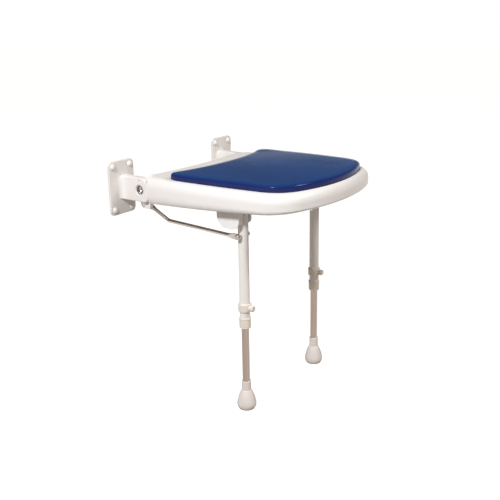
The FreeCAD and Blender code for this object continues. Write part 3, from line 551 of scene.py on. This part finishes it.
pad = seat_pad()
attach(pad, "seat")
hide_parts("seat_pad")


# Recessed plugs in both ends of the hinge tube

HINGE_Y = -0.067
TUBE_END = 0.2068
PLUG_RADIUS = 0.01105
PLUG_RECESS = 0.0065
PLUG_LENGTH = 0.012
PLUG_CHAMFER = 0.0012
PLUG_SIDES = 48

# Ring shaped hollow in the plug's face: depth behind the face, and radius
PLUG_HOLLOW = (
    (0.0, 0.0058), (0.0022, 0.0052), (0.0022, 0.0030), (0.0010, 0.0022), (0.0006, 0.0010),
)


def turned_about_hinge(name, profile, material):
    """Closed body of revolution about the hinge line, from pairs of X and radius."""
    mesh = bmesh.new()
    rings = []
    for x, radius in profile:
        ring = []
        for i in range(PLUG_SIDES):
            angle = 2 * math.pi * i / PLUG_SIDES
            y = HINGE_Y + radius * math.cos(angle)
            ring.append(mesh.verts.new((x, y, radius * math.sin(angle))))
        rings.append(ring)
    for first, second in zip(rings, rings[1:]):
        bridge(mesh, first, second)
    mesh.faces.new(list(reversed(rings[0])))
    mesh.faces.new(rings[-1])
    return linked(name, mesh, material)


def plug_profile(sign):
    face = TUBE_END - PLUG_RECESS
    outline = (
        (PLUG_LENGTH, PLUG_RADIUS), (PLUG_CHAMFER, PLUG_RADIUS), (0.0, PLUG_RADIUS - PLUG_CHAMFER),
    ) + PLUG_HOLLOW
    return [(sign * (face - depth), radius) for depth, radius in outline]


for side_name, sign in (("left", -1), ("right", 1)):
    plug = turned_about_hinge("hinge_plug_" + side_name, plug_profile(sign), finishes["steel"])
    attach(plug, "wall_frame")


# Floor, background and light

FLOOR_SIZE = 30.0
FLOOR_GAP = 0.0005           # between the soles and the floor
FLOOR_COLOUR = (0.36, 0.34, 0.32, 1.0)
FLOOR_GLOW = (0.93, 0.93, 0.93, 1.0)
AMBIENT = 0.27               # strength of the world's light on the object
AMBIENT_TINT = (1.0, 0.78, 0.62, 1.0)
WHITE = (1.0, 1.0, 1.0, 1.0)
CEILING = 0.10               # what reflections see overhead, next to 1 at the horizon
CEILING_START, CEILING_FULL = 0.04, 0.18    # heights of a direction, as shares of its length


def larger(tree, first, second):
    made = tree.nodes.new("ShaderNodeMath")
    made.operation = "MAXIMUM"
    tree.links.new(first, made.inputs[0])
    tree.links.new(second, made.inputs[1])
    return made.outputs[0]


def seen_rays(tree):
    """1 for camera, glossy and transmission rays, and 1 for camera rays alone."""
    path = tree.nodes.new("ShaderNodeLightPath").outputs
    mirrored = larger(tree, path["Is Camera Ray"], path["Is Glossy Ray"])
    return larger(tree, mirrored, path["Is Transmission Ray"]), path["Is Camera Ray"]


def white_floor():
    """Pale floor that keeps shadows and looks white to the camera."""
    place = (0.0, 0.0, FLOOR_Z - FLOOR_GAP)
    bpy.ops.mesh.primitive_plane_add(size=FLOOR_SIZE, location=place)
    floor = bpy.context.object
    floor.name = "floor"
    material = bpy.data.materials.new("floor_white")
    material.use_nodes = True
    tree = material.node_tree
    tree.nodes.clear()
    diffuse = tree.nodes.new("ShaderNodeBsdfDiffuse")
    diffuse.inputs["Color"].default_value = FLOOR_COLOUR
    glow = tree.nodes.new("ShaderNodeEmission")
    glow.inputs["Color"].default_value = FLOOR_GLOW
    seen = seen_rays(tree)[0]
    tree.links.new(seen, glow.inputs["Strength"])
    add = tree.nodes.new("ShaderNodeAddShader")
    tree.links.new(diffuse.outputs[0], add.inputs[0])
    tree.links.new(glow.outputs[0], add.inputs[1])
    out = tree.nodes.new("ShaderNodeOutputMaterial")
    tree.links.new(add.outputs[0], out.inputs["Surface"])
    floor.data.materials.append(material)


def white_world():
    """White for the camera, dimmer overhead in reflections, and a low warm light."""
    world = bpy.data.worlds.new("world")
    bpy.context.scene.world = world
    world.use_nodes = True
    tree = world.node_tree
    background = tree.nodes["Background"]
    seen, camera = seen_rays(tree)
    coords = tree.nodes.new("ShaderNodeTexCoord")
    split = tree.nodes.new("ShaderNodeSeparateXYZ")
    tree.links.new(coords.outputs["Generated"], split.inputs["Vector"])
    dome = tree.nodes.new("ShaderNodeMapRange")
    dome.interpolation_type = "SMOOTHSTEP"
    dome.inputs["From Min"].default_value = CEILING_START
    dome.inputs["From Max"].default_value = CEILING_FULL
    dome.inputs["To Min"].default_value = 1.0
    dome.inputs["To Max"].default_value = CEILING
    tree.links.new(split.outputs["Z"], dome.inputs["Value"])
    strength = tree.nodes.new("ShaderNodeMix")
    strength.inputs["A"].default_value = AMBIENT
    tree.links.new(seen, strength.inputs["Factor"])
    tree.links.new(larger(tree, dome.outputs["Result"], camera), strength.inputs["B"])
    tree.links.new(strength.outputs["Result"], background.inputs["Strength"])
    tint = tree.nodes.new("ShaderNodeMix")
    tint.data_type = "RGBA"
    tint.inputs["A"].default_value = AMBIENT_TINT
    tint.inputs["B"].default_value = WHITE
    tree.links.new(seen, tint.inputs["Factor"])
    tree.links.new(tint.outputs["Result"], background.inputs["Color"])


LAMP_TARGET = (0.0, -0.3, 0.0)

# Name, place, side of the square lamp, watts and colour
LAMPS = (
    ("key", (-2.50, -0.72, 2.10), 0.45, 92.0, (0.985, 1.0, 1.02)),
    ("front", (0.9, -2.7, 2.2), 0.8, 40.0, (1.0, 0.98, 0.95)),
)


def lamp(name, place, size, power, colour):
    data = bpy.data.lights.new(name, "AREA")
    data.size = size
    data.energy = power
    data.color = colour
    made = bpy.data.objects.new(name, data)
    bpy.context.scene.collection.objects.link(made)
    made.location = place
    way = Vector(LAMP_TARGET) - Vector(place)
    made.rotation_euler = way.to_track_quat("-Z", "Y").to_euler()


white_floor()
white_world()
for row in LAMPS:
    lamp(*row)

bpy.context.scene.view_settings.view_transform = "Standard"
